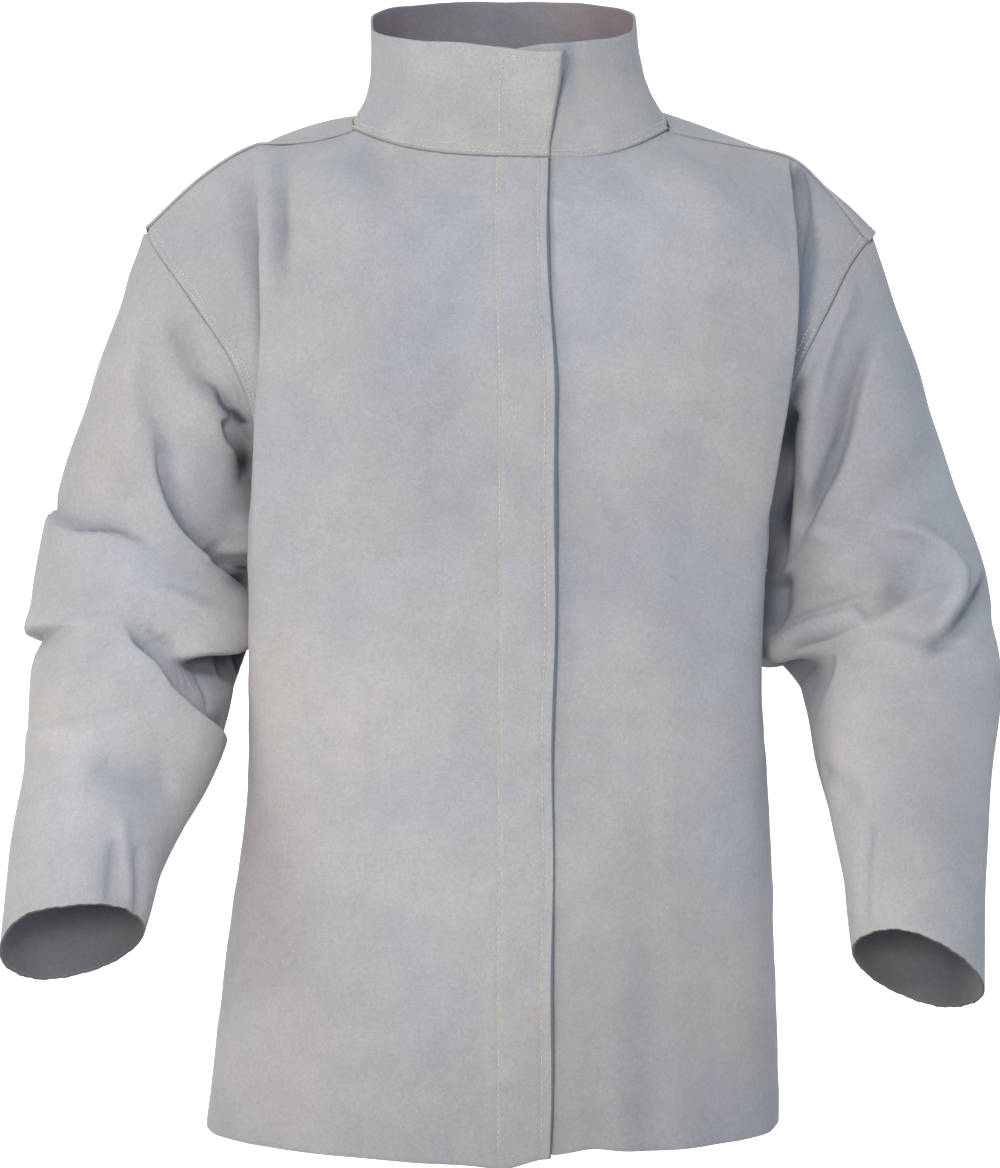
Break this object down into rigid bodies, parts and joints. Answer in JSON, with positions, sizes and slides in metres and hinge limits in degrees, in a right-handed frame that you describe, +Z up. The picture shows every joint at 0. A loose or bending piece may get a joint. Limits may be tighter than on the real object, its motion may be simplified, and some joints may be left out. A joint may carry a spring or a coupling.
{
  "type": "welding jacket",
  "caption": "Split-leather welding jacket in its worn shape, with a stand collar, a covered front closure, bent sleeves with open cuffs and an open hem.",
  "frame": {"origin": "middle of the neck base, level with the points where the shoulder seams meet the collar, where the jacket sits on the wearer", "axes": "+Z up the wearer, +X to the wearer's left, +Y to the wearer's back, so the front closure faces -Y"},
  "size_m": [0.7114, 0.3368, 0.827],
  "materials": {
    "split_leather": "light grey split leather with a short suede nap",
    "collar_leather": "light grey split leather with a short suede nap",
    "closing_strip": "grey woven closing tape, out of sight"
  },
  "bodies": {
    "root": {"front_right": "split_leather", "front_left": "split_leather", "back": "split_leather", "sleeve_right": "split_leather", "sleeve_left": "split_leather", "collar": "collar_leather", "front_closing_strip": "closing_strip", "collar_closing_strip": "closing_strip"}
  },
  "joints": []
}
